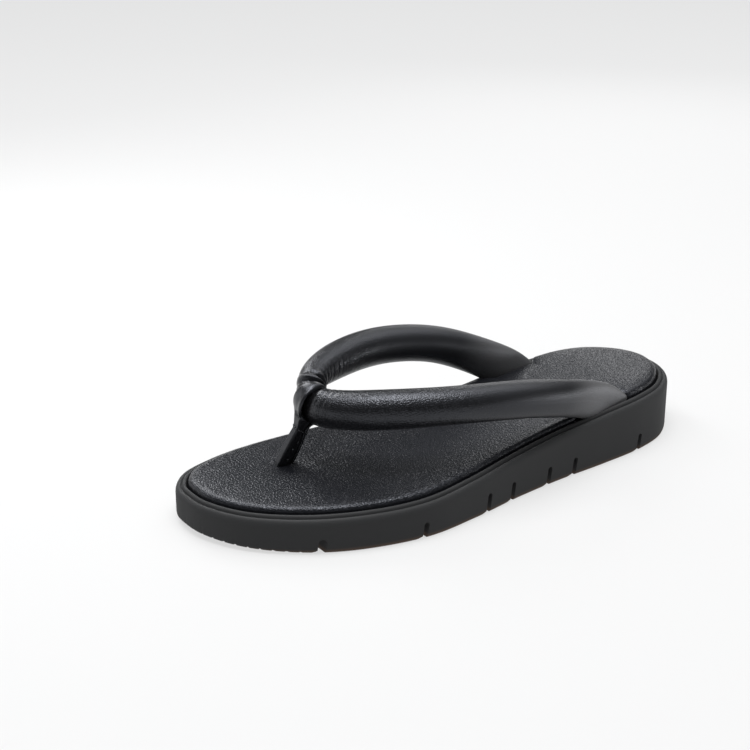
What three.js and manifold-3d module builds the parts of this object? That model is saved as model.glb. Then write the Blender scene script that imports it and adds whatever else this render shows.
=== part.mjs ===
import * as THREE from 'three';
import { mergeVertices } from 'three/addons/utils/BufferGeometryUtils.js';
import Module from 'manifold-3d';

const wasm = await Module();
wasm.setup();

// Sizes in millimetres. Toe towards -Y, lateral side towards +X, floor at Z = 0.

// Clearance left between pieces that touch
const SEAT_GAP = 0.3;

// Outline of the sole seen from above, one row per station from toe to heel
const OUTLINE_ROWS = [
  { along: -139.4, medial: -30.6, lateral: -5.8 },
  { along: -129.6, medial: -43.0, lateral: 14.0 },
  { along: -109.6, medial: -50.4, lateral: 32.6 },
  { along: -84.6, medial: -53.4, lateral: 45.5 },
  { along: -49.6, medial: -51.3, lateral: 53.6 },
  { along: -19.6, medial: -44.9, lateral: 51.2 },
  { along: 10.4, medial: -39.5, lateral: 46.2 },
  { along: 40.4, medial: -39.1, lateral: 43.0 },
  { along: 70.4, medial: -40.8, lateral: 41.6 },
  { along: 100.4, medial: -39.0, lateral: 38.6 },
  { along: 120.4, medial: -32.1, lateral: 31.8 },
  { along: 135.6, medial: -17.6, lateral: 17.6 },
];
const TOE_TIP = { along: -141, across: -18.5 };
const HEEL_TIP = { along: 141, across: -1 };
const SAMPLES_PER_ROW = 4;

// Heights of the sole's shoulder and the lift of its underside at both ends
const FOREFOOT_SHOULDER = 17.2;
const HEEL_SHOULDER = 28.5;
const WEDGE_START = -75;
const WEDGE_END = 110;
const TOE_SPRING = 2.5;
const TOE_SPRING_START = -80;
const HEEL_LIFT = 0.9;
const HEEL_LIFT_START = 115;

// Section of the outsole from its underside round the rim to the floor of the cup
// level 0 measures from the underside, level 1 from the shoulder
const OUTSOLE_PROFILE = [
  { inset: 1.8, level: 0, rise: 0 },
  { inset: 0.7, level: 0, rise: 0.25 },
  { inset: 0.15, level: 0, rise: 0.9 },
  { inset: 0, level: 0, rise: 2.2 },
  { inset: 0, level: 1, rise: -3.4 },
  { inset: 0.3, level: 1, rise: -1.6 },
  { inset: 1.0, level: 1, rise: -0.4 },
  { inset: 1.9, level: 1, rise: 0 },
  { inset: 2.5, level: 1, rise: -0.15 },
  { inset: 2.8, level: 1, rise: -0.7 },
  { inset: 3.1, level: 1, rise: -0.6 },
  { inset: 3.4, level: 1, rise: 0.35 },
  { inset: 3.9, level: 1, rise: 1 },
  { inset: 4.5, level: 1, rise: 1.2 },
  { inset: 5.0, level: 1, rise: 0.9 },
  { inset: 5.3, level: 1, rise: 0.2 },
  { inset: 5.4, level: 1, rise: -4 },
];

// Section of the footbed from its underside over the rolled edge to the crown
const FOOTBED_PROFILE = [
  { inset: 6.6, level: 1, rise: -3.7 },
  { inset: 5.8, level: 1, rise: -3.0 },
  { inset: 5.8, level: 1, rise: -0.4 },
  { inset: 6.3, level: 1, rise: 0.6 },
  { inset: 6.4, level: 1, rise: 1.8 },
  { inset: 7.0, level: 1, rise: 2.9 },
  { inset: 8.2, level: 1, rise: 3.5 },
  { inset: 10.5, level: 1, rise: 3.8 },
  { inset: 17, level: 1, rise: 4.1 },
  { inset: 25, level: 1, rise: 4.3 },
];

// Cuts in the side wall, one row each from toe to heel; lip is the chamfer at the mouth
const SIDE_CUTS = [
  { along: -100.6, tall: 7.2, wide: 3.8, lip: 2.6 },
  { along: -52.0, tall: 8.3, wide: 2.8, lip: 4.0 },
  { along: -11.4, tall: 10.3, wide: 2.8, lip: 4.0 },
  { along: 6.0, tall: 10.1, wide: 2.8, lip: 4.0 },
  { along: 31.7, tall: 10.1, wide: 2.8, lip: 4.0 },
  { along: 49.6, tall: 9.9, wide: 2.8, lip: 4.0 },
  { along: 97.0, tall: 9.5, wide: 2.8, lip: 4.0 },
];
const CUT_DEPTH = 14;
const CUT_LIP_RISE = 1.5;
const CUT_SLANT = 0.15;
const CUT_CLEARANCE = 6;
const CUT_ARC_STEPS = 4;
const GROOVE_DEPTH = 3;
const GROOVE_LENGTH = 130;
const GROOVE_SHARE = 0.7;

// Stuffed strap: one row per section, from the medial end round the toe to the lateral end
const STRAP_ROWS = [
  { across: -31.4, along: 75, up: 21, thick: 2.0, tall: 11.2 },
  { across: -32.4, along: 66, up: 28.9, thick: 2.8, tall: 11.2 },
  { across: -35.0, along: 53.5, up: 36.8, thick: 4.8, tall: 10.8 },
  { across: -39.6, along: 38, up: 44.5, thick: 7.6, tall: 10.2 },
  { across: -42.8, along: 18, up: 51.8, thick: 8.8, tall: 9.8 },
  { across: -44.0, along: -16, up: 57.0, thick: 9.1, tall: 9.8 },
  { across: -36.3, along: -48.7, up: 56.9, thick: 8.5, tall: 8.8 },
  { across: -25.6, along: -64.4, up: 55.3, thick: 7.0, tall: 7.2 },
  { across: -12.0, along: -70.9, up: 51.0, thick: 7.3, tall: 9.4 },
  { across: 1.0, along: -66, up: 51.5, thick: 9.0, tall: 9.2 },
  { across: 16.0, along: -53.2, up: 53.6, thick: 9.4, tall: 9.5 },
  { across: 32.3, along: -22, up: 54.0, thick: 9.1, tall: 9.2 },
  { across: 38.4, along: 16, up: 50.0, thick: 8.7, tall: 9.2 },
  { across: 37.2, along: 44, up: 42.1, thick: 7.2, tall: 9.5 },
  { across: 34.8, along: 60.5, up: 36.0, thick: 4.9, tall: 9.8 },
  { across: 32.9, along: 76, up: 28.6, thick: 3.2, tall: 11.0 },
  { across: 32.2, along: 86, up: 21.4, thick: 2.2, tall: 11.4 },
];
const STRAP_STEPS = 64;
const STRAP_SIDES = 20;
const KNOT_ROW = 8;

// Pinch of the strap where it comes out of the loop, with its place and reach in table rows
const PINCH = { row: 8.14, reach: 0.16, thick: 0.6, tall: 1.2, sink: 1.2 };

// Toe loop: a leather band from the foot of its front tail over the strap to its back tail
// hug 1 lies on the strap at the given turn from the post; hug 0 lies beside the post's axis,
// at the given drop below the knot, from the given spread outwards by its thickness
const LOOP_ROWS = [
  { hug: 0, turn: 0, drop: 40, half: 2.2, spread: -1.6, thick: 5.8 },
  { hug: 0, turn: 0, drop: 34, half: 2.4, spread: -1.9, thick: 6.8 },
  { hug: 0, turn: 0, drop: 27, half: 2.4, spread: -1.9, thick: 7 },
  { hug: 0, turn: 0, drop: 20, half: 2.3, spread: -1.3, thick: 6.3 },
  { hug: 0, turn: 6, drop: 15, half: 2.2, spread: 0.1, thick: 4.6 },
  { hug: 0, turn: 10, drop: 12.6, half: 2.5, spread: 0.2, thick: 5.1 },
  { hug: 0, turn: 20, drop: 8.4, half: 3, spread: -0.3, thick: 6.8 },
  { hug: 1, turn: 56, drop: 6.5, half: 3.4, spread: 5.8, thick: 1.9 },
  { hug: 1, turn: 80, drop: 0, half: 3.5, spread: 0.5, thick: 1.9 },
  { hug: 1, turn: 110, drop: 0, half: 3.5, spread: 0.5, thick: 1.9 },
  { hug: 1, turn: 140, drop: 0, half: 3.5, spread: 0.5, thick: 1.7 },
  { hug: 1, turn: 180, drop: 0, half: 3.5, spread: 0, thick: 1.2 },
  { hug: 1, turn: 220, drop: 0, half: 3.5, spread: -0.5, thick: 1 },
  { hug: 1, turn: 250, drop: 0, half: 3.5, spread: -0.5, thick: 1 },
  { hug: 1, turn: 284, drop: 0, half: 3.5, spread: -0.5, thick: 1.4 },
  { hug: 1, turn: 316, drop: 9, half: 3.4, spread: -0.5, thick: 1.9 },
  { hug: 0.6, turn: 340, drop: 11.5, half: 2.9, spread: -0.4, thick: 1.9 },
  { hug: 0, turn: 354, drop: 14.5, half: 2.3, spread: -0.2, thick: 2 },
  { hug: 0, turn: 360, drop: 20, half: 2.3, spread: -1.6, thick: 1.5 },
  { hug: 0, turn: 360, drop: 27, half: 2.4, spread: -2.2, thick: 1.4 },
  { hug: 0, turn: 360, drop: 34, half: 2.4, spread: -2.2, thick: 1.4 },
  { hug: 0, turn: 360, drop: 40, half: 2.2, spread: -1.9, thick: 1.2 },
];
const LOOP_STEPS = 40;
const LOOP_WIDTH_STEPS = 4;
const LOOP_OFFSET = -2;
const HALFWAY = 0.5;
const POST_LEAN = THREE.MathUtils.degToRad(26);

// Hole in the footbed round the post
const POST_HOLE = { halfWide: 4.2, halfDeep: 6.6, length: 20, sides: 28 };

const FINISHES = {
  outsole: { color: 0x2b2b2c, roughness: 0.85, metalness: 0 },
  footbed: { color: 0x2d2e32, roughness: 0.7, metalness: 0 },
  strap: { color: 0x1a1a1c, roughness: 0.5, metalness: 0 },
  toe_loop: { color: 0x18181a, roughness: 0.5, metalness: 0 },
};

// Samples of the sole outline with their inward directions
function outlineStations() {
  const lateral = OUTLINE_ROWS.map((row) => new THREE.Vector3(row.lateral, row.along, 0));
  const medial = OUTLINE_ROWS.map((row) => new THREE.Vector3(row.medial, row.along, 0)).reverse();
  const toe = new THREE.Vector3(TOE_TIP.across, TOE_TIP.along, 0);
  const heel = new THREE.Vector3(HEEL_TIP.across, HEEL_TIP.along, 0);
  const corners = [toe, ...lateral, heel, ...medial];
  const curve = new THREE.CatmullRomCurve3(corners, true, 'centripetal');
  const count = corners.length * SAMPLES_PER_ROW;
  const samples = [];
  for (let index = 0; index < count; index += 1) {
    const point = curve.getPoint(index / count);
    const tangent = curve.getTangent(index / count);
    const inward = new THREE.Vector3(-tangent.y, tangent.x, 0);
    samples.push({ point, inward });
  }
  return samples;
}

const stations = outlineStations();

function shoulderHeight(along) {
  const wedge = THREE.MathUtils.smoothstep(along, WEDGE_START, WEDGE_END);
  return THREE.MathUtils.lerp(FOREFOOT_SHOULDER, HEEL_SHOULDER, wedge);
}

function undersideHeight(along) {
  const toe = Math.max(0, (TOE_SPRING_START - along) / (TOE_SPRING_START - TOE_TIP.along));
  const heel = Math.max(0, (along - HEEL_LIFT_START) / (HEEL_TIP.along - HEEL_LIFT_START));
  return TOE_SPRING * toe * toe + HEEL_LIFT * heel * heel;
}

// One ring of a section carried round the outline
function rimRing(row) {
  return stations.map((station) => {
    const spot = station.point.clone().addScaledVector(station.inward, row.inset);
    const base = row.level === 0 ? undersideHeight(spot.y) : shoulderHeight(spot.y);
    spot.z = base + row.rise;
    return spot;
  });
}

// Closed skin over a run of rings, each turning the same way about the direction of travel
function skin(rings) {
  const size = rings[0].length;
  const half = size / 2;
  const positions = rings.flat().flatMap((spot) => [spot.x, spot.y, spot.z]);
  const faces = [];
  const quad = (a, b, c, d) => faces.push(a, b, c, a, c, d);
  for (let ring = 0; ring + 1 < rings.length; ring += 1) {
    for (let side = 0; side < size; side += 1) {
      const next = (side + 1) % size;
      const low = ring * size;
      quad(low + side, low + next, low + size + next, low + size + side);
    }
  }
  const last = (rings.length - 1) * size;
  faces.push(0, size - 1, 1, last, last + 1, last + size - 1);
  faces.push(half, half - 1, half + 1, last + half, last + half + 1, last + half - 1);
  for (let side = 1; side + 1 < half; side += 1) {
    quad(side, size - side, size - side - 1, side + 1);
    quad(last + side, last + side + 1, last + size - side - 1, last + size - side);
  }
  return toSolid(positions, faces);
}

function toSolid(positions, faces) {
  const mesh = new wasm.Mesh({
    numProp: 3,
    vertProperties: Float32Array.from(positions),
    triVerts: Uint32Array.from(faces),
  });
  return new wasm.Manifold(mesh);
}

// Solid from a closed geometry, by its places alone
function solidFrom(geometry) {
  const bare = new THREE.BufferGeometry();
  bare.setAttribute('position', geometry.getAttribute('position'));
  bare.setIndex(geometry.getIndex());
  const welded = mergeVertices(bare);
  return toSolid(welded.getAttribute('position').array, welded.getIndex().array);
}

// Place of the outline across the shoe at a station along it, on the side named by the sign
function edgeAcross(along, sign) {
  const near = stations.filter((station) => Math.sign(station.point.x) === sign);
  const gaps = near.map((station) => Math.abs(station.point.y - along));
  return near[gaps.indexOf(Math.min(...gaps))].point.x;
}

// Slot with a round top that leans to the heel and a chamfered toe-side mouth, carried across the shoe
function slot(row, tall, fromAcross, length) {
  const half = row.wide / 2;
  const shape = new THREE.Shape();
  const top = tall - half;
  const lean = CUT_SLANT * top;
  shape.moveTo(half, -CUT_CLEARANCE);
  shape.lineTo(half, 0);
  shape.lineTo(half + lean, top);
  shape.absarc(lean, top, half, 0, Math.PI, false);
  shape.lineTo(CUT_SLANT * CUT_LIP_RISE - half, CUT_LIP_RISE);
  shape.lineTo(-half - row.lip, 0);
  shape.lineTo(-half - row.lip, -CUT_CLEARANCE);
  shape.closePath();
  const options = { depth: length, bevelEnabled: false, curveSegments: CUT_ARC_STEPS };
  const geometry = new THREE.ExtrudeGeometry(shape, options);
  geometry.rotateX(Math.PI / 2);
  geometry.rotateZ(Math.PI / 2);
  geometry.translate(fromAcross, row.along, undersideHeight(row.along));
  return solidFrom(geometry);
}

function cutSides(solid) {
  let result = solid;
  for (const row of SIDE_CUTS) {
    const length = CUT_DEPTH + CUT_CLEARANCE;
    const lateral = slot(row, row.tall, edgeAcross(row.along, 1) - CUT_DEPTH, length);
    const medial = slot(row, row.tall, edgeAcross(row.along, -1) - CUT_CLEARANCE, length);
    const narrow = { ...row, wide: row.wide * GROOVE_SHARE, lip: row.lip * GROOVE_SHARE };
    const groove = slot(narrow, GROOVE_DEPTH, -GROOVE_LENGTH / 2, GROOVE_LENGTH);
    result = result.subtract(lateral).subtract(medial).subtract(groove);
  }
  return result;
}

const strapCurve = new THREE.CatmullRomCurve3(
  STRAP_ROWS.map((row) => new THREE.Vector3(row.across, row.along, row.up)),
  false,
  'centripetal',
);

const strapSizes = new THREE.CatmullRomCurve3(
  STRAP_ROWS.map((row) => new THREE.Vector3(row.thick, row.tall, 0)),
  false,
  'catmullrom',
);

// Middle, directions and half sizes of the strap's section, at a place counted in table rows
function strapSection(place) {
  const share = THREE.MathUtils.clamp(place / (STRAP_ROWS.length - 1), 0, 1);
  const sizes = strapSizes.getPoint(share);
  const pinch = Math.exp(-(((place - PINCH.row) / PINCH.reach) ** 2));
  const thick = sizes.x - PINCH.thick * pinch;
  const tall = sizes.y - PINCH.tall * pinch;
  const middle = strapCurve.getPoint(share);
  const ahead = strapCurve.getTangent(share);
  const out = new THREE.Vector3(ahead.y, -ahead.x, 0).normalize();
  const up = out.clone().cross(ahead);
  middle.addScaledVector(up, -PINCH.sink * pinch);
  return { middle, ahead, out, up, thick, tall };
}

// Point on the strap's surface, turned from its outer side upwards and grown by a margin
function strapPoint(place, angle, grow) {
  const section = strapSection(place);
  return section.middle
    .addScaledVector(section.out, (section.thick + grow) * Math.cos(angle))
    .addScaledVector(section.up, (section.tall + grow) * Math.sin(angle));
}

function strapSolid(grow) {
  const rings = [];
  for (let step = 0; step <= STRAP_STEPS; step += 1) {
    const place = (STRAP_ROWS.length - 1) * (step / STRAP_STEPS);
    const ring = [];
    for (let side = 0; side < STRAP_SIDES; side += 1) {
      ring.push(strapPoint(place, (-2 * Math.PI * side) / STRAP_SIDES, grow));
    }
    rings.push(ring);
  }
  return skin(rings);
}

// Direction of the post below the knot, as an angle in the strap's section at the knot
const knot = strapSection(KNOT_ROW);
const postAngle = POST_LEAN - Math.PI / 2;
const postDown = knot.out.clone()
  .multiplyScalar(Math.cos(postAngle))
  .addScaledVector(knot.up, Math.sin(postAngle));
const postFront = knot.out.clone()
  .multiplyScalar(-Math.sin(postAngle))
  .addScaledVector(knot.up, Math.cos(postAngle));
const postWide = knot.ahead;

// Length of strap from the knot to the next table row
const strapRowLength = strapSection(KNOT_ROW + 1).middle.distanceTo(knot.middle);

// Row of the loop's table at a share of its length
function loopRow(share) {
  const place = share * (LOOP_ROWS.length - 1);
  const index = Math.min(LOOP_ROWS.length - 2, Math.floor(place));
  const blend = place - index;
  const first = LOOP_ROWS[index];
  const second = LOOP_ROWS[index + 1];
  const between = (name) => THREE.MathUtils.lerp(first[name], second[name], blend);
  return {
    hug: between('hug'),
    turn: between('turn'),
    drop: between('drop'),
    half: between('half'),
    spread: between('spread'),
    thick: between('thick'),
  };
}

// Point of the loop at a share of its length and a place across its width, on its inner face
// at layer 0 and its outer face at layer 1
// The inner face lies a little inside the strap, so that the strap can trim the loop to fit
function loopPoint(share, across, layer) {
  const row = loopRow(share);
  const angle = postAngle + THREE.MathUtils.degToRad(row.turn);
  const place = KNOT_ROW + (LOOP_OFFSET + across * row.half) / strapRowLength;
  const wrapped = strapPoint(place, angle, layer === 0 ? -SEAT_GAP : SEAT_GAP + row.thick);
  const side = share < HALFWAY ? 1 : -1;
  const straight = knot.middle.clone()
    .addScaledVector(postDown, row.drop)
    .addScaledVector(postFront, row.spread + side * layer * row.thick)
    .addScaledVector(postWide, across * row.half);
  return straight.lerp(wrapped, row.hug);
}

function loopSolid() {
  const rings = [];
  for (let step = 0; step <= LOOP_STEPS; step += 1) {
    const share = step / LOOP_STEPS;
    const ring = [];
    for (let place = 0; place <= LOOP_WIDTH_STEPS; place += 1) {
      ring.push(loopPoint(share, (2 * place) / LOOP_WIDTH_STEPS - 1, 1));
    }
    for (let place = LOOP_WIDTH_STEPS; place >= 0; place -= 1) {
      ring.push(loopPoint(share, (2 * place) / LOOP_WIDTH_STEPS - 1, 0));
    }
    rings.push(ring);
  }
  return skin(rings);
}

// Oval hole through the footbed along the post
function postHole() {
  const geometry = new THREE.CylinderGeometry(1, 1, POST_HOLE.length, POST_HOLE.sides);
  geometry.scale(POST_HOLE.halfWide, 1, POST_HOLE.halfDeep);
  const basis = new THREE.Matrix4().makeBasis(postWide, postDown.clone().negate(), postFront);
  geometry.applyMatrix4(basis);
  const lowest = LOOP_ROWS[0].drop;
  const foot = knot.middle.clone().addScaledVector(postDown, lowest);
  geometry.translate(foot.x, foot.y, foot.z);
  return solidFrom(geometry);
}

function piece(name, solid) {
  const mesh = solid.getMesh();
  const geometry = new THREE.BufferGeometry();
  geometry.setAttribute('position', new THREE.BufferAttribute(new Float32Array(mesh.vertProperties), 3));
  geometry.setIndex(new THREE.BufferAttribute(new Uint32Array(mesh.triVerts), 1));
  geometry.computeVertexNormals();
  const material = new THREE.MeshStandardMaterial(FINISHES[name]);
  const result = new THREE.Mesh(geometry, material);
  result.name = name;
  return result;
}

const strap = strapSolid(0);
const strapPocket = strapSolid(SEAT_GAP);
const outsole = cutSides(skin(OUTSOLE_PROFILE.map(rimRing))).subtract(strapPocket);
const footbed = skin(FOOTBED_PROFILE.map(rimRing)).subtract(strapPocket).subtract(postHole());
const toeLoop = loopSolid().subtract(strapPocket);

const sandal = new THREE.Group();
sandal.name = 'sandal';
sandal.add(piece('outsole', outsole));
sandal.add(piece('footbed', footbed));
sandal.add(piece('strap', strap));
sandal.add(piece('toe_loop', toeLoop));

export default sandal;
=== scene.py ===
import math

import bpy
import numpy as np
from mathutils import Matrix, Vector


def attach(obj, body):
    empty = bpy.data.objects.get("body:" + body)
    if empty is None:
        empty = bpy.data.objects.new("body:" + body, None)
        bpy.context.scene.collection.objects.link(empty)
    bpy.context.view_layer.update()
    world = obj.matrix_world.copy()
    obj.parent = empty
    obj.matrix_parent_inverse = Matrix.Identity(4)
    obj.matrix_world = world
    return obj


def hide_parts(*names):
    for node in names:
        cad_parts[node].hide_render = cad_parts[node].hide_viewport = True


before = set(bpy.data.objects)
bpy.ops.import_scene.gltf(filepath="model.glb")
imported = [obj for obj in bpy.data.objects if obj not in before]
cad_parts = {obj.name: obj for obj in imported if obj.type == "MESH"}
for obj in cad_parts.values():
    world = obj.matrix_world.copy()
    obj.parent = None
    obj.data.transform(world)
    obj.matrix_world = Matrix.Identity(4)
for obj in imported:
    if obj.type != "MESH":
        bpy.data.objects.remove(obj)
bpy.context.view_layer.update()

# Sizes in millimetres, in the frame of the part: toe towards -Y, lateral side towards +X
MM = 0.001

# Outline of the sole seen from above: along, medial edge, lateral edge
OUTLINE_ROWS = np.array([
    (-139.4, -30.6, -5.8),
    (-129.6, -43.0, 14.0),
    (-109.6, -50.4, 32.6),
    (-84.6, -53.4, 45.5),
    (-49.6, -51.3, 53.6),
    (-19.6, -44.9, 51.2),
    (10.4, -39.5, 46.2),
    (40.4, -39.1, 43.0),
    (70.4, -40.8, 41.6),
    (100.4, -39.0, 38.6),
    (120.4, -32.1, 31.8),
    (135.6, -17.6, 17.6),
])
TOE_TIP = (-18.5, -141.0)
HEEL_TIP = (-1.0, 141.0)
RIM_SAMPLES = 36

FOREFOOT_SHOULDER = 17.2
HEEL_SHOULDER = 28.5
WEDGE_RUN = (-75.0, 110.0)
TOE_SPRING = 2.5
TOE_SPRING_START = -80.0
HEEL_LIFT = 0.9
HEEL_LIFT_START = 115.0

# Section of the outsole: inset, level (0 underside, 1 shoulder), rise
OUTSOLE_PROFILE = [
    (1.8, 0, 0.0),
    (1.2, 0, 0.05),
    (0.7, 0, 0.25),
    (0.35, 0, 0.55),
    (0.15, 0, 0.9),
    (0.04, 0, 1.5),
    (0.0, 0, 2.2),
    (0.0, 0, 5.5),
    (0.0, 1, -6.0),
    (0.0, 1, -4.4),
    (0.0, 1, -3.2),
    (0.1, 1, -2.3),
    (0.35, 1, -1.4),
    (0.7, 1, -0.75),
    (1.1, 1, -0.3),
    (1.5, 1, -0.06),
    (1.9, 1, 0.0),
    (2.25, 1, -0.04),
    (2.5, 1, -0.2),
    (2.7, 1, -0.5),
    (2.85, 1, -0.72),
    (3.05, 1, -0.62),
    (3.2, 1, -0.2),
    (3.4, 1, 0.35),
    (3.65, 1, 0.75),
    (3.95, 1, 1.02),
    (4.35, 1, 1.18),
    (4.7, 1, 1.12),
    (5.0, 1, 0.9),
    (5.2, 1, 0.5),
    (5.3, 1, 0.0),
    (5.4, 1, -4.0),
]

# Section of the footbed over its rolled edge: inset, level, rise
FOOTBED_PROFILE = [
    (6.6, 1, -3.7),
    (5.9, 1, -3.0),
    (5.8, 1, -1.4),
    (5.9, 1, -0.4),
    (6.2, 1, 0.5),
    (6.3, 1, 1.2),
    (6.45, 1, 1.9),
    (6.75, 1, 2.5),
    (7.2, 1, 3.0),
    (7.8, 1, 3.35),
    (8.6, 1, 3.6),
    (9.8, 1, 3.75),
    (11.5, 1, 3.85),
    (14.5, 1, 4.0),
    (18.5, 1, 4.12),
    (23.0, 1, 4.22),
    (25.0, 1, 4.25),
]

# Cuts in the side wall: along, tall, wide, lip
SIDE_CUTS = [
    (-100.6, 7.2, 3.8, 2.6),
    (-52.0, 8.3, 2.8, 4.0),
    (-11.4, 10.3, 2.8, 4.0),
    (6.0, 10.1, 2.8, 4.0),
    (31.7, 10.1, 2.8, 4.0),
    (49.6, 9.9, 2.8, 4.0),
    (97.0, 9.5, 2.8, 4.0),
]
CUT_DEPTH = 14.0
CUT_LIP_RISE = 1.5
CUT_CLEARANCE = 6.0
CUT_SLANT = 0.15
CUT_ARC_STEPS = 13

# Shallow grooves across the underside between the cuts, and their share of a cut's width
GROOVE_DEPTH = 3.0
GROOVE_LENGTH = 130.0
GROOVE_SHARE = 0.7

# Corners of the outsole steeper than this many degrees stay crisp
CRISP_ANGLE = 38.0

# Fine ribs nicked into the bottom edge of the toe: they fade upwards and towards the ball
NICK_PITCH = 6.3
NICK_WIDTH = 0.9
NICK_DEPTH = 0.4
NICK_INSET = 0.5
NICK_HEIGHT = 2.6
NICK_FADE = (-118.0, -98.0)

# Notches of the footbed for the strap ends: depth, places along where each opens and closes,
# insets over which they fade towards the middle
NOTCH_DEPTH = 5.6
LATERAL_NOTCH = ((54.0, 64.0), (88.0, 96.0))
MEDIAL_NOTCH = ((44.0, 54.0), (78.0, 86.0))
NOTCH_FADE = (9.0, 24.0)

# Lift and crown of the footbed's heel, with the insets and places along over which they grow
HEEL_CUSHION = 0.9
HEEL_CROWN = 0.9
CUSHION_INSETS = (5.9, 6.6)
CROWN_INSETS = (6.5, 14.0)
HEEL_CUSHION_RUN = (60.0, 112.0)

# Rings that fill the footbed's top, and the share of the way to its middle line that they cover
FOOTBED_RINGS = 12
FOOTBED_FILL = 0.93

# Dimple of the footbed at the post
DIMPLE_PLACE = (-13.5, -86.5)
DIMPLE_REACH = 6.0
DIMPLE_DEPTH = 1.3

# Folds of the footbed by the lateral strap end: inset from the edge, place along, reach along, depth
EDGE_FOLDS = [
    (9.6, 41.0, 18.0, 0.7),
    (11.9, 44.0, 14.0, 0.6),
    (14.2, 48.0, 11.0, 0.45),
]
FOLD_WIDTH = 0.55
FOLD_DRIFT = 0.02

# Rise above the shoulder over which dimple and folds set in
SOFT_TOP_RISE = (1.5, 3.0)

# Stuffed strap from the medial end round the toe to the lateral end:
# across, along, up, half thickness, half height
STRAP_ROWS = np.array([
    (-31.4, 75.0, 21.0, 2.0, 11.2),
    (-32.4, 66.0, 28.9, 2.8, 11.2),
    (-35.0, 53.5, 36.8, 4.8, 10.8),
    (-39.6, 38.0, 44.5, 7.6, 10.2),
    (-42.8, 18.0, 51.8, 8.8, 9.8),
    (-44.0, -16.0, 57.0, 9.1, 9.8),
    (-36.3, -48.7, 56.9, 8.5, 8.8),
    (-25.6, -64.4, 55.3, 7.0, 7.2),
    (-12.0, -70.9, 51.0, 7.3, 9.4),
    (1.0, -66.0, 51.1, 9.0, 9.7),
    (16.0, -53.2, 53.2, 9.4, 9.9),
    (32.3, -22.0, 53.7, 9.1, 9.4),
    (38.4, 16.0, 50.0, 8.7, 9.2),
    (37.2, 44.0, 42.9, 7.2, 9.5),
    (34.8, 60.5, 37.5, 4.9, 9.9),
    (32.9, 76.0, 29.8, 3.2, 11.0),
    (32.2, 86.0, 21.4, 2.2, 11.4),
])
KNOT_ROW = 8
STRAP_STEPS = 760
STRAP_SIDES = 120
STRAP_GIRTH = 58.0
MEASURING_STEPS = 4000
TANGENT_STEP = 0.001

# Flare of the lateral end's lower edge: growth, run along the strap from the knot, angle, reach
END_FLARE = 1.0
END_FLARE_RUN = (60.0, 105.0)
END_FLARE_ANGLE = math.radians(-50.0)
END_FLARE_REACH = math.radians(22.0)

# Pinch of the strap where it comes out of the loop: place and reach in table rows, loss of half
# thickness and half height, sink of its middle
PINCH_ROW = 8.14
PINCH_REACH = 0.16
PINCH_LOSS = np.array((0.6, 0.5))
PINCH_SINK = 1.2

# Creases of the strap: distance from the knot (medial arm negative), middle angle in degrees from
# the outer side upwards, angular reach, half width, depth (negative for a swelling), slant in
# millimetres per radian
STRAP_CREASES = [
    (-7.5, 130.0, 105.0, 0.8, 1.7, 2.2),
    (-10.4, 120.0, 90.0, 1.5, -1.5, 2.6),
    (-13.4, 176.0, 60.0, 0.9, 2.2, 2.0),
    (-17.6, 180.0, 46.0, 0.7, 1.2, 3.0),
    (-22.0, 178.0, 38.0, 0.6, 0.7, 3.0),
    (-25.6, 176.0, 34.0, 0.5, 0.48, 3.0),
    (-29.6, 174.0, 32.0, 0.5, 0.36, 2.0),
    (-34.4, 172.0, 30.0, 0.5, 0.28, 2.0),
    (-38.4, 168.0, 28.0, 0.5, 0.2, 2.0),
    (-43.4, 166.0, 26.0, 0.5, 0.14, 2.0),
    (-14.6, 120.0, 36.0, 0.7, 0.5, -2.0),
    (7.0, 178.0, 60.0, 0.6, 1.0, -2.0),
    (10.0, 184.0, 50.0, 0.6, 0.7, -2.4),
    (13.6, 180.0, 42.0, 0.7, 0.45, -2.0),
    (8.0, 64.0, 46.0, 0.5, 0.35, 3.0),
    (10.8, 54.0, 42.0, 0.5, 0.28, 3.0),
    (14.0, 60.0, 40.0, 0.6, 0.2, 3.0),
    (-166.0, 225.0, 45.0, 0.7, 0.4, 3.0),
    (-162.0, 222.0, 40.0, 0.7, 0.32, 3.0),
    (-157.5, 220.0, 36.0, 0.8, 0.25, 3.0),
]

# Spreads of a crease within its angular reach, then offset in half widths and share of the depth of
# the low ridges beside its trough
CREASE_SPREADS = 1.6
RIDGE_OFFSET = 1.9
RIDGE_SHARE = 0.35

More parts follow.
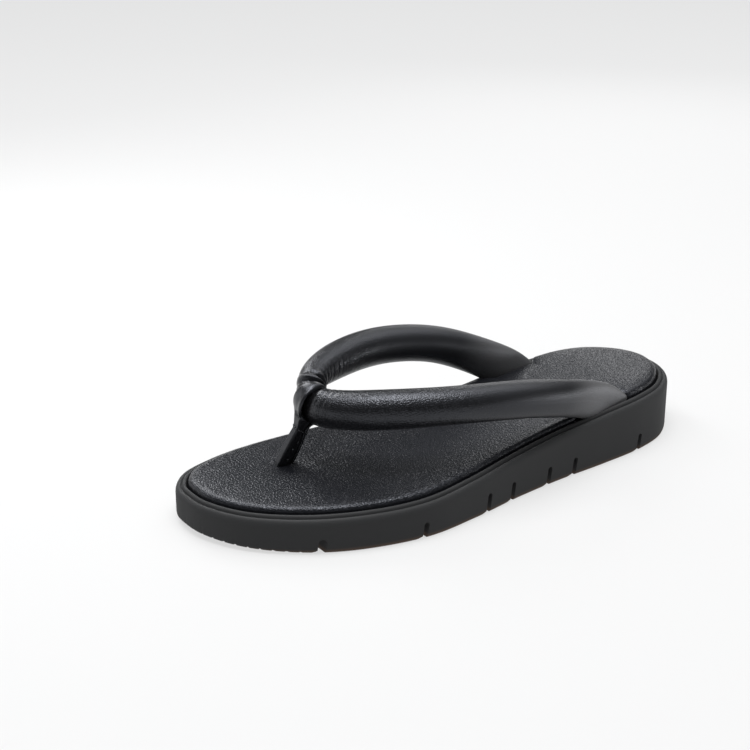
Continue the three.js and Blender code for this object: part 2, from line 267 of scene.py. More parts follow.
# Toe loop: hug, turn in degrees from the post, drop along the post, half width, spread from its axis,
# thickness
LOOP_ROWS = np.array([
    (0.0, 0.0, 40.0, 2.2, -1.6, 5.8),
    (0.0, 0.0, 34.0, 2.4, -1.9, 6.8),
    (0.0, 0.0, 27.0, 2.4, -1.9, 7.0),
    (0.0, 0.0, 20.0, 2.3, -1.3, 6.3),
    (0.0, 6.0, 15.0, 2.2, 0.1, 4.6),
    (0.0, 10.0, 12.6, 2.5, 0.2, 5.1),
    (0.0, 40.0, 8.4, 3.4, -0.3, 7.4),
    (1.0, 50.0, 7.0, 3.4, 5.0, 2.3),
    (1.0, 80.0, 0.0, 3.5, 0.5, 2.3),
    (1.0, 110.0, 0.0, 3.5, 0.5, 2.1),
    (1.0, 140.0, 0.0, 3.5, 0.5, 1.7),
    (1.0, 180.0, 0.0, 3.5, 0.0, 1.2),
    (1.0, 220.0, 0.0, 3.5, -0.5, 1.0),
    (1.0, 250.0, 0.0, 3.5, -0.5, 1.0),
    (1.0, 284.0, 0.0, 3.5, -0.5, 1.4),
    (1.0, 316.0, 9.0, 3.4, -0.5, 1.9),
    (0.6, 340.0, 11.5, 2.9, -0.4, 1.9),
    (0.0, 354.0, 14.5, 2.3, -0.2, 2.0),
    (0.0, 360.0, 20.0, 2.3, -1.6, 1.5),
    (0.0, 360.0, 27.0, 2.4, -2.2, 1.4),
    (0.0, 360.0, 34.0, 2.4, -2.2, 1.4),
    (0.0, 360.0, 40.0, 2.2, -1.9, 1.2),
])
LOOP_OFFSET = -2.0
BAND_THICKNESS = 2.3
BAND_GAP = 0.12
POST_LEAN = math.radians(26.0)

# Section of the loop: half of its flat face and its round edge as shares of the half width
LOOP_FLAT = 0.7
LOOP_ROUND = 0.3
LOOP_STEPS = 280
LOOP_EDGE_STEPS = 10
LOOP_FLAT_STEPS = 9

# Flared lip of the band: height, shares of the half width over which it grows, turns in degrees
# over which it rises and falls again
LIP_FLARE = 1.5
LIP_ACROSS = (0.3, 1.0)
LIP_RISE = (15.0, 60.0)
LIP_FALL = (90.0, 150.0)

# Stitches of the loop: drop below the knot, across and front of the post's axis, then the run of
# the thread along the post and across it
LOOP_STITCHES = [
    (13.4, -1.8, 4.9, 0.5, 0.8),
    (13.7, -0.4, 5.0, 0.5, 0.8),
    (14.0, 1.0, 4.9, 0.5, 0.8),
    (13.9, 2.4, 3.9, 0.8, 0.0),
    (14.1, 2.4, 2.5, 0.8, 0.0),
    (14.3, 2.4, 1.1, 0.8, 0.0),
    (14.5, 2.4, -0.5, 0.8, 0.0),
    (14.7, 2.4, -1.7, 0.8, 0.0),
    (20.4, 2.35, 0.6, 1.1, 0.0),
    (24.6, 2.4, 1.5, 1.1, 0.0),
    (30.6, 2.4, 1.3, 1.1, 0.0),
]
STITCH_RADIUS = 0.5
STITCH_SIDES = 10

# Rounded thread of a stitch: share of its run, share of its radius
STITCH_PROFILE = [(-0.25, 0.35), (0.0, 0.85), (0.5, 1.0), (1.0, 0.85), (1.25, 0.35)]

# A direction that no stitch runs along
STITCH_ASIDE = (0.3, 0.5, 0.8)

# Rubber of the outsole, browner below the heights over which the brown of its bottom edge fades
RUBBER_COLOUR = (0.0255, 0.026, 0.027)
RUBBER_EDGE_COLOUR = (0.075, 0.05, 0.036)
RUBBER_ROUGHNESS = 0.72
RUBBER_SPECULAR = 0.3
BROWN_RUN = (0.7, 3.0)

# Fine pores of the rubber: number per metre, detail, strength and depth in metres
PORES = 900.0
PORE_DETAIL = 4.0
PORE_STRENGTH = 0.12
PORE_DEPTH = 0.0003

# Leathers: grain cells per metre and the share of them along the shoe, strength and depth in metres
# of the grain, its wander, strength of lengthwise wrinkles
LEATHERS = {
    "footbed_cover": {
        "colour": (0.006, 0.0064, 0.008),
        "roughness": 0.29,
        "specular": 0.37,
        "cells": 1000.0,
        "share_along": 0.6,
        "strength": 0.38,
        "depth": 0.0003,
        "wander": 0.6,
        "wrinkles": 0.0,
    },
    "strap_leather": {
        "colour": (0.005, 0.005, 0.0055),
        "roughness": 0.28,
        "specular": 0.5,
        "cells": 800.0,
        "share_along": 1.0,
        "strength": 0.45,
        "depth": 0.00018,
        "wander": 0.5,
        "wrinkles": 0.22,
    },
    "loop_leather": {
        "colour": (0.005, 0.005, 0.0055),
        "roughness": 0.32,
        "specular": 0.5,
        "cells": 1000.0,
        "share_along": 1.0,
        "strength": 0.25,
        "depth": 0.00012,
        "wander": 0.5,
        "wrinkles": 0.0,
    },
}

# Colour of the light that leather throws back
LEATHER_SHEEN = (0.87, 0.9, 1.0)

# Width of the grooves between grain cells, and coarseness and detail of the wander over them
GRAIN_GROOVE = 0.3
WANDER_SHARE = 0.5
WANDER_DETAIL = 3.0

# Lengthwise wrinkles of the strap: share of the pace along it, number per metre round it, detail,
# distortion, depth in metres
WRINKLE_PACE = 0.3
WRINKLES = 420.0
WRINKLE_DETAIL = 4.0
WRINKLE_DISTORTION = 0.4
WRINKLE_DEPTH = 0.0008

# Distances from the strap's ends between which its skin turns smooth, and between which its colour is
# lightened as a painted sheen of the satin ends
SMOOTH_RUN = (85.0, 118.0)
SMOOTH_SHARE = 0.2
SMOOTH_ROUGHNESS = 0.42
# Painted sheen: the lighter grey that the strap's colour turns towards its ends stands in for the satin
# highlight they catch
PAINTED_SHEEN_RUN = (16.0, 52.0)
PAINTED_SHEEN_COLOUR = (0.11, 0.11, 0.112)

# Floor: reach, grey, roughness and glow
FLOOR_REACH = 4000.0
FLOOR_COLOUR = (0.2, 0.2, 0.2)
FLOOR_ROUGHNESS = 0.9
FLOOR_GLOW = 0.625

# Light panels: name, place, target, width and height in metres, power, turn in degrees
LIGHTS = [
    ("heel_panel", (-0.54, 0.62, 0.33), (0.0, 0.09, 0.03), (0.38, 0.26), 0.78, 0.0),
    ("toe_panel", (-0.5, -0.05, 0.4), (-0.02, -0.11, 0.02), (0.24, 0.34), 1.7, 0.0),
    ("front_panel", (-0.54, -0.52, 0.2), (-0.013, -0.08, 0.045), (0.35, 0.3), 0.56, 0.0),
    ("strip_softbox", (-0.2, -0.38, 1.25), (-0.2, -0.38, 0.0), (1.1, 0.2), 8.2, 33.5),
    ("side_panel", (0.42, 0.62, 0.002), (0.42, 0.62, 1.0), (0.5, 0.5), 9.0, 0.0),
    ("rear_softbox", (0.0, 1.0, 1.15), (0.0, 0.0, 0.05), (1.0, 0.8), 4.2, 0.0),
    ("top_softbox", (0.05, 0.05, 1.3), (0.0, 0.0, 0.03), (0.7, 0.7), 10.5, 0.0),
]

# Sky: strength below and overhead, height over which it grows, colour
SKY_BELOW = 0.07
SKY_ABOVE = 0.9
SKY_RUN = (0.42, 1.0)
SKY_COLOUR = (0.96, 0.98, 1.0)

CAMERA_PLACE = (0.6239, -0.4760, 0.3863)
CAMERA_AHEAD = (-0.7566, 0.5239, -0.3913)
CAMERA_LENS = 81.55
CAMERA_SENSOR = 36.0


# Curves and meshes

def closed_curve(corners, places):
    """Closed centripetal Catmull-Rom curve through the corners, at places counted in corners."""
    padded = np.vstack([corners[-1:], corners, corners[:2]])
    index = np.floor(places).astype(int)
    share = (places - index)[:, None]
    before, start, end, after = (padded[index + step] for step in range(4))
    gap_before = np.sqrt(np.linalg.norm(start - before, axis=1))[:, None]
    gap = np.sqrt(np.linalg.norm(end - start, axis=1))[:, None]
    gap_after = np.sqrt(np.linalg.norm(after - end, axis=1))[:, None]
    chord = (end - start) / gap
    leave = ((start - before) / gap_before - (end - before) / (gap_before + gap) + chord) * gap
    arrive = (chord - (after - start) / (gap + gap_after) + (after - end) / gap_after) * gap
    square = -3 * start + 3 * end - 2 * leave - arrive
    cube = 2 * start - 2 * end + leave + arrive
    return start + leave * share + square * share ** 2 + cube * share ** 3


def natural_bends(rows, spans):
    """Second derivatives at the rows of the natural cubic spline through them."""
    system = np.eye(len(rows))
    target = np.zeros_like(rows)
    for row in range(1, len(rows) - 1):
        before, after = spans[row - 1], spans[row]
        system[row, row - 1:row + 2] = before, 2 * (before + after), after
        target[row] = 6 * ((rows[row + 1] - rows[row]) / after - (rows[row] - rows[row - 1]) / before)
    return np.linalg.solve(system, target)


def run_lengths(points):
    """Distance of each point from the first along the line through them."""
    return np.concatenate([[0], np.cumsum(np.linalg.norm(np.diff(points, axis=0), axis=1))])


def smooth_step(value, low, high):
    share = np.clip((value - low) / (high - low), 0, 1)
    return share * share * (3 - 2 * share)


def unit(vectors):
    return vectors / np.linalg.norm(vectors, axis=-1, keepdims=True)


def bell(value, middle, width):
    return np.exp(-0.5 * ((value - middle) / width) ** 2)


def make_mesh(name, points, faces):
    mesh = bpy.data.meshes.new(name)
    mesh.from_pydata((np.asarray(points) * MM).tolist(), [], faces)
    mesh.validate()
    mesh.shade_smooth()
    piece = bpy.data.objects.new(name, mesh)
    bpy.context.scene.collection.objects.link(piece)
    return piece


def ring_faces(rings, size):
    """Faces of a closed skin over a run of rings, with strip caps at both ends."""
    faces = []
    for ring in range(rings - 1):
        low = ring * size
        for side in range(size):
            after = (side + 1) % size
            faces.append((low + side, low + after, low + size + after, low + size + side))
    last = (rings - 1) * size
    half = size // 2
    faces.append((0, size - 1, 1))
    faces.append((half, half - 1, half + 1))
    faces.append((last, last + 1, last + size - 1))
    faces.append((last + half, last + half + 1, last + half - 1))
    for side in range(1, half - 1):
        faces.append((side, size - side, size - side - 1, side + 1))
        faces.append((last + side, last + side + 1, last + size - side - 1, last + size - side))
    return faces


def lay_coordinates(piece, lengths, size, girth):
    """Flat coordinates in metres along and round a swept piece, for wrinkles that run lengthwise."""
    layer = piece.data.uv_layers.new(name="skin")
    for polygon in piece.data.polygons:
        if len(polygon.vertices) < 4 or polygon.index >= (len(lengths) - 1) * size:
            continue
        side = polygon.index % size
        for corner, loop_index in enumerate(polygon.loop_indices):
            ring = piece.data.loops[loop_index].vertex_index // size
            turn = side + (1 if corner in (1, 2) else 0)
            layer.data[loop_index].uv = (lengths[ring] * MM, turn / size * girth * MM)


# Sole

def outline_stations():
    lateral = OUTLINE_ROWS[:, [2, 0]]
    medial = OUTLINE_ROWS[::-1, [1, 0]]
    corners = np.vstack([[TOE_TIP], lateral, [HEEL_TIP], medial])
    places = np.arange(len(corners) * RIM_SAMPLES) / RIM_SAMPLES
    points = closed_curve(corners, places)
    tangents = unit(np.roll(points, -1, axis=0) - np.roll(points, 1, axis=0))
    inward = np.stack([-tangents[:, 1], tangents[:, 0]], axis=1)
    return points, inward


rim_points, rim_inward = outline_stations()
rim_lengths = run_lengths(rim_points)


def shoulder_height(along):
    wedge = smooth_step(along, *WEDGE_RUN)
    return FOREFOOT_SHOULDER + (HEEL_SHOULDER - FOREFOOT_SHOULDER) * wedge


def underside_height(along):
    toe = np.maximum(0, (TOE_SPRING_START - along) / (TOE_SPRING_START - TOE_TIP[1]))
    heel = np.maximum(0, (along - HEEL_LIFT_START) / (HEEL_TIP[1] - HEEL_LIFT_START))
    return TOE_SPRING * toe ** 2 + HEEL_LIFT * heel ** 2


def rim_ring(inset, level, rise):
    spots = rim_points + rim_inward * np.asarray(inset).reshape(-1, 1)
    base = underside_height(spots[:, 1]) if level == 0 else shoulder_height(spots[:, 1])
    return np.column_stack([spots, base + rise])


def edge_across(along, sign):
    side = rim_points[np.sign(rim_points[:, 0]) == sign]
    return side[np.argmin(np.abs(side[:, 1] - along)), 0]


def slot_points(row, tall, share):
    """Outline of a cut seen from the side: a round top, and a lip flared towards the toe."""
    along, _, wide, lip = row
    half = share * wide / 2
    top = tall - half
    lean = CUT_SLANT * top
    lip_end = -half - share * lip
    profile = [(half, -CUT_CLEARANCE), (half, 0.0)]
    for turn in np.linspace(0, math.pi, CUT_ARC_STEPS):
        profile.append((lean + half * math.cos(turn), top + half * math.sin(turn)))
    profile.append((CUT_SLANT * CUT_LIP_RISE - half, CUT_LIP_RISE))
    profile.append((lip_end, 0.0))
    profile.append((lip_end, -CUT_CLEARANCE))
    lift = float(underside_height(np.array(along)))
    return [(along + ahead, rise + lift) for ahead, rise in profile]


def slot_cutter(name, sign):
    """Cuts from one side of the sole, or the shallow grooves right across it for sign 0."""
    points = []
    faces = []
    for row in SIDE_CUTS:
        tall, share = row[1], 1.0
        if sign == 0:
            low, high = -GROOVE_LENGTH / 2, GROOVE_LENGTH / 2
            tall, share = GROOVE_DEPTH, GROOVE_SHARE
        elif sign > 0:
            low = edge_across(row[0], sign) - CUT_DEPTH
            high = low + CUT_DEPTH + CUT_CLEARANCE
        else:
            high = edge_across(row[0], sign) + CUT_DEPTH
            low = high - CUT_DEPTH - CUT_CLEARANCE
        profile = slot_points(row, tall, share)
        start = len(points)
        size = len(profile)
        points += [(low, along, rise) for along, rise in profile]
        points += [(high, along, rise) for along, rise in profile]
        faces.append(tuple(range(start + size - 1, start - 1, -1)))
        faces.append(tuple(range(start + size, start + 2 * size)))
        for corner in range(size):
            after = (corner + 1) % size
            faces.append((start + corner, start + after, start + size + after, start + size + corner))
    return make_mesh(name, points, faces)


def cut_away(piece, cutter):
    modifier = piece.modifiers.new("cut", "BOOLEAN")
    modifier.operation = "DIFFERENCE"
    modifier.solver = "MANIFOLD"
    modifier.object = cutter
    graph = bpy.context.evaluated_depsgraph_get()
    mesh = bpy.data.meshes.new_from_object(piece.evaluated_get(graph))
    piece.modifiers.clear()
    piece.data = mesh
    bpy.data.objects.remove(cutter)


def build_outsole():
    rings = []
    phase = (rim_lengths / NICK_PITCH) % 1.0
    near = np.minimum(phase, 1 - phase) * NICK_PITCH
    toe = 1 - smooth_step(rim_points[:, 1], *NICK_FADE)
    nick = np.exp(-(near / (NICK_WIDTH / 2)) ** 4) * toe
    for inset, level, rise in OUTSOLE_PROFILE:
        strength = max(0.0, 1 - rise / NICK_HEIGHT) if level == 0 else 0.0
        ring = rim_ring(inset + nick * strength * NICK_INSET, level, rise)
        ring[:, 2] += nick * strength * NICK_DEPTH
        rings.append(ring)
    piece = make_mesh("outsole_look", np.vstack(rings), ring_faces(len(rings), len(rim_points)))
    for name, sign in (("lateral_cuts", 1), ("medial_cuts", -1), ("grooves", 0)):
        cut_away(piece, slot_cutter(name, sign))
    piece.data.materials.clear()
    piece.data.shade_smooth()
    piece.data.set_sharp_from_angle(angle=math.radians(CRISP_ANGLE))
    return piece


def footbed_rise(points):
    """Dimple where the post sinks in and soft folds along the rolled edge by the strap's lateral end."""
    across, along = points[:, 0], points[:, 1]
    away = np.hypot(across - DIMPLE_PLACE[0], along - DIMPLE_PLACE[1])
    rise = -DIMPLE_DEPTH * bell(away, 0.0, DIMPLE_REACH)
    edge = np.interp(along, OUTLINE_ROWS[:, 0], OUTLINE_ROWS[:, 2]) - across
    for inset, middle, reach, depth in EDGE_FOLDS:
        path = inset + FOLD_DRIFT * (along - middle)
        fold = bell(edge, path, FOLD_WIDTH) * bell(along, middle, reach)
        rise -= depth * fold * (across > 0)
    return rise


def notch_reach(along, opening, closing):
    return smooth_step(along, *opening) * (1 - smooth_step(along, *closing))


def build_footbed():
    rings = []
    along = rim_points[:, 1]
    lateral = rim_points[:, 0] > 0
    reach = np.where(lateral, notch_reach(along, *LATERAL_NOTCH), notch_reach(along, *MEDIAL_NOTCH))
    heel = smooth_step(along, *HEEL_CUSHION_RUN)
    for inset, level, rise in FOOTBED_PROFILE:
        edge = 1 - smooth_step(inset, *NOTCH_FADE)
        cushion = HEEL_CUSHION * smooth_step(inset, *CUSHION_INSETS)
        crown = HEEL_CROWN * smooth_step(inset, *CROWN_INSETS)
        rings.append(rim_ring(inset + NOTCH_DEPTH * reach * edge, level, rise + (cushion + crown) * heel))
    inner = rings[-1]
    partner = np.roll(inner[::-1], 1, axis=0)
    middle = (inner + partner) / 2
    for share in np.linspace(0, FOOTBED_FILL, FOOTBED_RINGS + 1)[1:]:
        rings.append(inner * (1 - share) + middle * share)
    points = np.vstack(rings)
    top = smooth_step(points[:, 2] - shoulder_height(points[:, 1]), *SOFT_TOP_RISE)
    points[:, 2] += footbed_rise(points) * top
    return make_mesh("footbed_look", points, ring_faces(len(rings), len(rim_points)))


# Strap

strap_spans = np.sqrt(np.linalg.norm(np.diff(STRAP_ROWS[:, :3], axis=0), axis=1))
strap_bends = natural_bends(STRAP_ROWS, strap_spans)


def strap_values(places):
    """Middles and half sizes of the strap on its spline, at places counted in table rows."""
    row = np.clip(np.floor(places).astype(int), 0, len(STRAP_ROWS) - 2)
    ahead = (places - row)[:, None]
    back = 1 - ahead
    span = strap_spans[row][:, None]
    bend = (back ** 3 - back) * strap_bends[row] + (ahead ** 3 - ahead) * strap_bends[row + 1]
    return back * STRAP_ROWS[row] + ahead * STRAP_ROWS[row + 1] + span ** 2 / 6 * bend


dense_places = np.linspace(0, len(STRAP_ROWS) - 1, MEASURING_STEPS + 1)
dense_lengths = run_lengths(strap_values(dense_places)[:, :3])
strap_length = float(dense_lengths[-1])
knot_length = float(np.interp(KNOT_ROW, dense_places, dense_lengths))


def strap_place(distance):
    """Place in table rows at a distance along the strap from the knot."""
    return np.interp(knot_length + distance, dense_lengths, dense_places)


def strap_sections(places):
    """Middles, directions ahead, out and up, and half sizes of the strap at places in table rows."""
    last = len(STRAP_ROWS) - 1
    places = np.clip(places, 0, last)
    values = strap_values(places)
    middles, sizes = values[:, :3], values[:, 3:]
    ahead = unit(strap_values(np.clip(places + TANGENT_STEP, 0, last))[:, :3]
                 - strap_values(np.clip(places - TANGENT_STEP, 0, last))[:, :3])
    out = unit(np.column_stack([ahead[:, 1], -ahead[:, 0], np.zeros(len(places))]))
    up = np.cross(out, ahead)
    pinch = np.exp(-((places - PINCH_ROW) / PINCH_REACH) ** 2)[:, None]
    return middles - up * PINCH_SINK * pinch, ahead, out, up, sizes - PINCH_LOSS * pinch


def strap_points(places, angles, grow):
    """Points of the strap's skin, moved out by a growth, at angles from its outer side upwards."""
    middles, _, out, up, sizes = strap_sections(places)
    thick = (sizes[:, 0] + grow)[:, None] * np.cos(angles)[:, None]
    tall = (sizes[:, 1] + grow)[:, None] * np.sin(angles)[:, None]
    return middles + out * thick + up * tall


def crease_depth(lengths, angles):
    """How far the strap's skin is drawn in at distances from the knot and angles round it."""
    total = np.zeros_like(lengths)
    for middle, turn, reach, width, depth, slant in STRAP_CREASES:
        off = np.angle(np.exp(1j * (angles - math.radians(turn))))
        window = bell(off, 0.0, math.radians(reach) / CREASE_SPREADS)
        centre = middle + slant * off
        beside = RIDGE_OFFSET * width
        trough = bell(lengths, centre, width)
        ridge = bell(lengths, centre - beside, width) + bell(lengths, centre + beside, width)
        total += depth * window * (trough - RIDGE_SHARE * ridge)
    return total


def build_strap():
    lengths = np.linspace(0, strap_length, STRAP_STEPS + 1)
    places = np.interp(lengths, dense_lengths, dense_places)
    angles = -2 * np.pi * np.arange(STRAP_SIDES) / STRAP_SIDES
    all_places = np.repeat(places, STRAP_SIDES)
    all_angles = np.tile(angles, len(places))
    from_knot = np.repeat(lengths - knot_length, STRAP_SIDES)
    flare = smooth_step(from_knot, *END_FLARE_RUN) * bell(all_angles, END_FLARE_ANGLE, END_FLARE_REACH)
    grow = END_FLARE * flare - crease_depth(from_knot, all_angles)
    points = strap_points(all_places, all_angles, grow)
    piece = make_mesh("strap_look", points, ring_faces(len(places), STRAP_SIDES))
    lay_coordinates(piece, lengths, STRAP_SIDES, STRAP_GIRTH)
    return piece


# Toe loop

knot_middle, knot_ahead, knot_out, knot_up = (
    values[0] for values in strap_sections(np.array([float(KNOT_ROW)]))[:4])
post_angle = POST_LEAN - math.pi / 2
post_down = knot_out * math.cos(post_angle) + knot_up * math.sin(post_angle)
post_front = -knot_out * math.sin(post_angle) + knot_up * math.cos(post_angle)


def loop_points(share, across, depth):
    """Points of the loop at shares of its length, places across it and shares of its thickness."""
    place = share * (len(LOOP_ROWS) - 1)
    rows = np.arange(len(LOOP_ROWS))
    hug, turn, drop, half, spread, thick = (np.interp(place, rows, column) for column in LOOP_ROWS.T)
    side = np.where(share < 0.5, 1.0, -1.0)
    hug = smooth_step(hug, 0, 1)[:, None]
    angle = post_angle + np.radians(turn)
    lip = LIP_FLARE * smooth_step(across, *LIP_ACROSS) * smooth_step(turn, *LIP_RISE)
    lip *= 1 - smooth_step(turn, *LIP_FALL)
    band = BAND_GAP + depth * np.minimum(thick, BAND_THICKNESS) + lip
    wrapped = strap_points(strap_place(LOOP_OFFSET + across * half), angle, band)
    front = (spread + side * depth * thick)[:, None]
    straight = knot_middle + post_down * drop[:, None] + post_front * front
    straight = straight + knot_ahead * (across * half)[:, None]
    return straight * (1 - hug) + wrapped * hug


def add_stitch(points, faces, start, end):
    """A thread between two spots, as a rounded rod."""
    ahead = unit(end - start)
    side = unit(np.cross(ahead, STITCH_ASIDE))
    rise = np.cross(ahead, side)
    turns = np.linspace(0, 2 * math.pi, STITCH_SIDES, endpoint=False)
    first = len(points)
    for share, size in STITCH_PROFILE:
        middle = start + (end - start) * share
        for turn in turns:
            points.append(middle + STITCH_RADIUS * size * (side * math.cos(turn) + rise * math.sin(turn)))
    for ring in range(len(STITCH_PROFILE) - 1):
        low = first + ring * STITCH_SIDES
        high = low + STITCH_SIDES
        for corner in range(STITCH_SIDES):
            after = (corner + 1) % STITCH_SIDES
            faces.append((low + corner, low + after, high + after, high + corner))
    last = first + (len(STITCH_PROFILE) - 1) * STITCH_SIDES
    faces.append(tuple(range(first + STITCH_SIDES - 1, first - 1, -1)))
    faces.append(tuple(range(last, last + STITCH_SIDES)))


def post_spot(drop, across, front):
    return knot_middle + post_down * drop + knot_ahead * across + post_front * front


def build_loop():
    turns = np.linspace(0, math.pi, LOOP_EDGE_STEPS)[1:-1]
    flat = np.linspace(-LOOP_FLAT, LOOP_FLAT, LOOP_FLAT_STEPS)
    outer = [(place, 1.0) for place in flat]
    right = [(LOOP_FLAT + LOOP_ROUND * math.sin(turn), (1 + math.cos(turn)) / 2) for turn in turns]
    inner = [(place, 0.0) for place in flat[::-1]]
    left = [(-LOOP_FLAT - LOOP_ROUND * math.sin(turn), (1 - math.cos(turn)) / 2) for turn in turns]
    section = np.array(outer + right + inner + left)
    shares = np.linspace(0, 1, LOOP_STEPS + 1)
    size = len(section)
    all_shares = np.repeat(shares, size)
    all_across = np.tile(section[:, 0], len(shares))
    all_depths = np.tile(section[:, 1], len(shares))
    points = list(loop_points(all_shares, all_across, all_depths))
    faces = ring_faces(len(shares), size)
    for drop, across, front, along, over in LOOP_STITCHES:
        start = post_spot(drop, across, front)
        add_stitch(points, faces, start, start + post_down * along + knot_ahead * over)
    return make_mesh("toe_loop_look", np.array(points), faces)


# Materials

def node_input(node, name, value):
    node.inputs[name].default_value = value


def math_node(tree, operation, first, second):
    """Two values joined by an operation, each a socket or a number."""
    node = tree.nodes.new("ShaderNodeMath")
    node.operation = operation
    for slot, value in zip(node.inputs, (first, second)):
        if isinstance(value, (int, float)):
            slot.default_value = value
        else:
            tree.links.new(value, slot)
    return node.outputs[0]


def range_node(tree, value, run, start, end):
    """A soft step of a value from start to end over a run in millimetres."""
    node = tree.nodes.new("ShaderNodeMapRange")
    node.interpolation_type = "SMOOTHSTEP"
    node_input(node, "From Min", run[0] * MM)
    node_input(node, "From Max", run[1] * MM)
    node_input(node, "To Min", start)
    node_input(node, "To Max", end)
    tree.links.new(value, node.inputs["Value"])
    return node.outputs["Result"]


def noise_node(tree, vector, scale, detail):
    node = tree.nodes.new("ShaderNodeTexNoise")
    node_input(node, "Scale", scale)
    node_input(node, "Detail", detail)
    tree.links.new(vector, node.inputs["Vector"])
    return node


def blend_colours(tree, share, first, second):
    blend = tree.nodes.new("ShaderNodeValToRGB")
    blend.color_ramp.elements[0].color = (*first, 1)
    blend.color_ramp.elements[1].color = (*second, 1)
    tree.links.new(share, blend.inputs["Fac"])
    return blend.outputs["Color"]


def scaled_place(tree, vector, scale):
    node = tree.nodes.new("ShaderNodeMapping")
    node_input(node, "Scale", scale)
    tree.links.new(vector, node.inputs["Vector"])
    return node.outputs["Vector"]


def grain_group():
    """Pebbled grain: flat-topped cells with narrow grooves between them and a soft wander."""
    tree = bpy.data.node_groups.new("leather_grain", "ShaderNodeTree")
    tree.interface.new_socket("Coordinates", in_out="INPUT", socket_type="NodeSocketVector")
    for name in ("Cells per metre", "Groove", "Wander"):
        tree.interface.new_socket(name, in_out="INPUT", socket_type="NodeSocketFloat")
    tree.interface.new_socket("Height", in_out="OUTPUT", socket_type="NodeSocketFloat")
    source = tree.nodes.new("NodeGroupInput")
    sink = tree.nodes.new("NodeGroupOutput")
    place = source.outputs["Coordinates"]
    count = source.outputs["Cells per metre"]
    wander = tree.nodes.new("ShaderNodeTexNoise")
    node_input(wander, "Detail", WANDER_DETAIL)
    tree.links.new(place, wander.inputs["Vector"])
    tree.links.new(math_node(tree, "MULTIPLY", count, WANDER_SHARE), wander.inputs["Scale"])
    cells = tree.nodes.new("ShaderNodeTexVoronoi")
    cells.feature = "DISTANCE_TO_EDGE"
    tree.links.new(place, cells.inputs["Vector"])
    tree.links.new(count, cells.inputs["Scale"])
    pebble = tree.nodes.new("ShaderNodeMapRange")
    pebble.interpolation_type = "SMOOTHSTEP"
    tree.links.new(cells.outputs["Distance"], pebble.inputs["Value"])
    tree.links.new(source.outputs["Groove"], pebble.inputs["From Max"])
    drift = math_node(tree, "MULTIPLY", wander.outputs["Fac"], source.outputs["Wander"])
    tree.links.new(math_node(tree, "ADD", pebble.outputs["Result"], drift), sink.inputs["Height"])
    return tree


grain = grain_group()


def new_material(name, colour, roughness, specular, tint=(1.0, 1.0, 1.0)):
    material = bpy.data.materials.new(name)
    material.use_nodes = True
    shader = material.node_tree.nodes["Principled BSDF"]
    node_input(shader, "Base Color", (*colour, 1))
    node_input(shader, "Roughness", roughness)
    node_input(shader, "Specular IOR Level", specular)
    node_input(shader, "Specular Tint", (*tint, 1))
    return material, material.node_tree, shader


def add_relief(tree, height, strength, depth, under=None):
    relief = tree.nodes.new("ShaderNodeBump")
    node_input(relief, "Strength", strength)
    node_input(relief, "Distance", depth)
    tree.links.new(height, relief.inputs["Height"])
    if under is not None:
        tree.links.new(under, relief.inputs["Normal"])
    return relief.outputs["Normal"]


def work_strap_skin(tree, shader, skin, look):
    """Smoother strap ends, with a painted sheen that lightens their colour; gives the share of grain left
    and the normal of the wrinkles.
    """
    split = tree.nodes.new("ShaderNodeSeparateXYZ")
    tree.links.new(skin, split.inputs[0])
    rest = math_node(tree, "SUBTRACT", strap_length * MM, split.outputs["X"])
    nearest = math_node(tree, "MINIMUM", split.outputs["X"], rest)
    grained = range_node(tree, nearest, SMOOTH_RUN, SMOOTH_SHARE, 1.0)
    # Painted sheen: share of the lighter colour, growing towards the strap's ends in place of their satin
    # highlight
    painted_sheen = range_node(tree, nearest, PAINTED_SHEEN_RUN, 1.0, 0.0)
    gloss = range_node(tree, nearest, SMOOTH_RUN, SMOOTH_ROUGHNESS, look["roughness"])
    tree.links.new(blend_colours(tree, painted_sheen, look["colour"], PAINTED_SHEEN_COLOUR), shader.inputs["Base Color"])
    tree.links.new(gloss, shader.inputs["Roughness"])
    stretched = scaled_place(tree, skin, (WRINKLE_PACE, 1.0, 1.0))
    folds = noise_node(tree, stretched, WRINKLES, WRINKLE_DETAIL)
    node_input(folds, "Distortion", WRINKLE_DISTORTION)
    fading = math_node(tree, "MULTIPLY", folds.outputs["Fac"], grained)
    return grained, add_relief(tree, fading, look["wrinkles"], WRINKLE_DEPTH)


def leather(name):
    """Leather with pebbled grain, worked along its length where it has wrinkles."""
    look = LEATHERS[name]
    material, tree, shader = new_material(
        name, look["colour"], look["roughness"], look["specular"], LEATHER_SHEEN)
    place = tree.nodes.new("ShaderNodeTexCoord")
    group = tree.nodes.new("ShaderNodeGroup")
    group.node_tree = grain
    stretched = scaled_place(tree, place.outputs["Object"], (1.0, look["share_along"], 1.0))
    tree.links.new(stretched, group.inputs["Coordinates"])
    node_input(group, "Cells per metre", look["cells"])
    node_input(group, "Groove", GRAIN_GROOVE)
    node_input(group, "Wander", look["wander"])
    height = group.outputs["Height"]
    under = None
    if look["wrinkles"] > 0:
        grained, under = work_strap_skin(tree, shader, place.outputs["UV"], look)
        height = math_node(tree, "MULTIPLY", height, grained)
    normal = add_relief(tree, height, look["strength"], look["depth"], under)
    tree.links.new(normal, shader.inputs["Normal"])
    return material


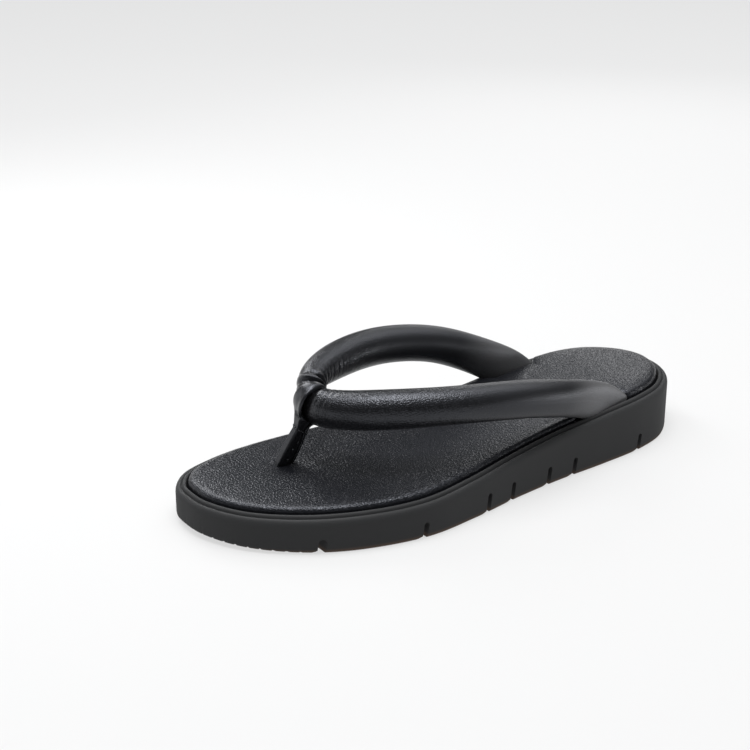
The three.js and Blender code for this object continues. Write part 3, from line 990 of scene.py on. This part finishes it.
def rubber(name):
    """Moulded rubber, a little browner along the bottom edge."""
    material, tree, shader = new_material(name, RUBBER_COLOUR, RUBBER_ROUGHNESS, RUBBER_SPECULAR)
    place = tree.nodes.new("ShaderNodeTexCoord")
    pores = noise_node(tree, place.outputs["Object"], PORES, PORE_DETAIL)
    normal = add_relief(tree, pores.outputs["Fac"], PORE_STRENGTH, PORE_DEPTH)
    tree.links.new(normal, shader.inputs["Normal"])
    split = tree.nodes.new("ShaderNodeSeparateXYZ")
    tree.links.new(place.outputs["Object"], split.inputs[0])
    height = range_node(tree, split.outputs["Z"], BROWN_RUN, 0.0, 1.0)
    colour = blend_colours(tree, height, RUBBER_EDGE_COLOUR, RUBBER_COLOUR)
    tree.links.new(colour, shader.inputs["Base Color"])
    return material


outsole = build_outsole()
footbed = build_footbed()
strap = build_strap()
loop = build_loop()

outsole.data.materials.append(rubber("outsole_rubber"))
footbed.data.materials.append(leather("footbed_cover"))
strap.data.materials.append(leather("strap_leather"))
loop.data.materials.append(leather("loop_leather"))

for piece, node, slot in (
    (outsole, "outsole", "outsole_rubber"),
    (footbed, "footbed", "footbed_cover"),
    (strap, "strap", "strap_leather"),
    (loop, "toe_loop", "loop_leather"),
):
    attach(piece, "root")
    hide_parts(node)


# Stage, light and camera

def build_floor():
    reach = FLOOR_REACH
    corners = [(-reach, -reach, 0), (reach, -reach, 0), (reach, reach, 0), (-reach, reach, 0)]
    floor = make_mesh("floor", corners, [(0, 1, 2, 3)])
    material, _, shader = new_material("floor_paper", FLOOR_COLOUR, FLOOR_ROUGHNESS, 0.0)
    node_input(shader, "Emission Color", (1, 1, 1, 1))
    node_input(shader, "Emission Strength", FLOOR_GLOW)
    floor.data.materials.append(material)


def add_light(name, place, target, size, power, turn):
    """Rectangular panel at a place, facing a target and turned about that direction."""
    data = bpy.data.lights.new(name, "AREA")
    data.shape = "RECTANGLE"
    data.size, data.size_y = size
    data.energy = power
    light = bpy.data.objects.new(name, data)
    light.location = place
    facing = (Vector(target) - Vector(place)).to_track_quat("-Z", "Y").to_matrix()
    light.rotation_euler = (facing @ Matrix.Rotation(math.radians(turn), 3, "Z")).to_euler()
    bpy.context.scene.collection.objects.link(light)


def build_sky():
    """Even light from all round, stronger overhead."""
    world = bpy.data.worlds.new("studio")
    bpy.context.scene.world = world
    world.use_nodes = True
    tree = world.node_tree
    place = tree.nodes.new("ShaderNodeTexCoord")
    split = tree.nodes.new("ShaderNodeSeparateXYZ")
    tree.links.new(place.outputs["Generated"], split.inputs[0])
    ramp = tree.nodes.new("ShaderNodeMapRange")
    node_input(ramp, "From Min", SKY_RUN[0])
    node_input(ramp, "From Max", SKY_RUN[1])
    node_input(ramp, "To Min", SKY_BELOW)
    node_input(ramp, "To Max", SKY_ABOVE)
    tree.links.new(split.outputs["Z"], ramp.inputs["Value"])
    sky = tree.nodes["Background"]
    node_input(sky, "Color", (*SKY_COLOUR, 1))
    tree.links.new(ramp.outputs["Result"], sky.inputs["Strength"])


def build_camera():
    data = bpy.data.cameras.new("camera")
    data.lens = CAMERA_LENS
    data.sensor_width = CAMERA_SENSOR
    camera = bpy.data.objects.new("camera", data)
    camera.location = CAMERA_PLACE
    camera.rotation_euler = Vector(CAMERA_AHEAD).to_track_quat("-Z", "Y").to_euler()
    bpy.context.scene.collection.objects.link(camera)
    bpy.context.scene.camera = camera


build_floor()
for light_row in LIGHTS:
    add_light(*light_row)
build_sky()
build_camera()
bpy.context.scene.view_settings.view_transform = "Standard"
